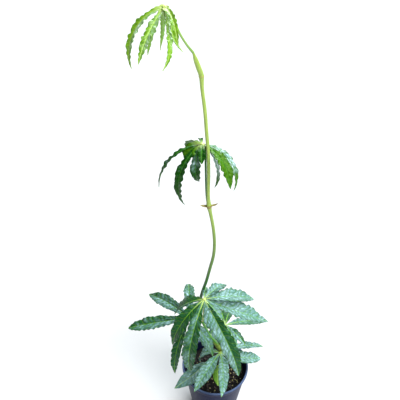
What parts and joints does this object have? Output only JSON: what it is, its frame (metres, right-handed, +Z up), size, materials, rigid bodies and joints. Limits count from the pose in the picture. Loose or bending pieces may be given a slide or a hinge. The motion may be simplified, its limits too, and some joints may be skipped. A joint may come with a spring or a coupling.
{
  "type": "potted anthurium",
  "caption": "Slender climbing anthurium in a round dark nursery pot of bark mix: a bent upright stem with hand-shaped leaves of narrow, arched, wavy-edged leaflets.",
  "frame": {"origin": "middle of the pot's flat underside, on the surface it stands on", "axes": "+Z up along the pot's axis; the picture's view looks along +Y and down, with +X to its right"},
  "size_m": [0.2022, 0.1465, 0.5821],
  "materials": {
    "nursery_pot": "satin slate blue-grey moulded plastic",
    "potting_mix": "moist black-brown bark and peat with pale perlite",
    "green_stem": "smooth waxy green stem, yellow-green above",
    "foot_sheath": "withering olive-ochre sheath",
    "dry_bract": "dry papery tan",
    "new_leaf": "glossy yellow-green young blade",
    "dark_leaf": "glossy quilted dark green blade",
    "grown_leaf": "satin quilted blade with a cool sheen, pale midrib",
    "old_leaf": "smooth grey-teal blade",
    "young_leaf": "smooth yellow-green blade"
  },
  "bodies": {
    "root": {"pot": "nursery_pot", "potting_mix": "potting_mix", "main_stem": "green_stem", "foot_sheath": "foot_sheath", "dry_bract": "dry_bract", "top_leaf": "new_leaf", "middle_leaf": "dark_leaf", "broad_leaf": "grown_leaf", "left_leaf": "grown_leaf", "right_leaf": "grown_leaf", "low_leaf": "grown_leaf", "old_leaf": "old_leaf", "young_leaf": "young_leaf"}
  },
  "joints": []
}
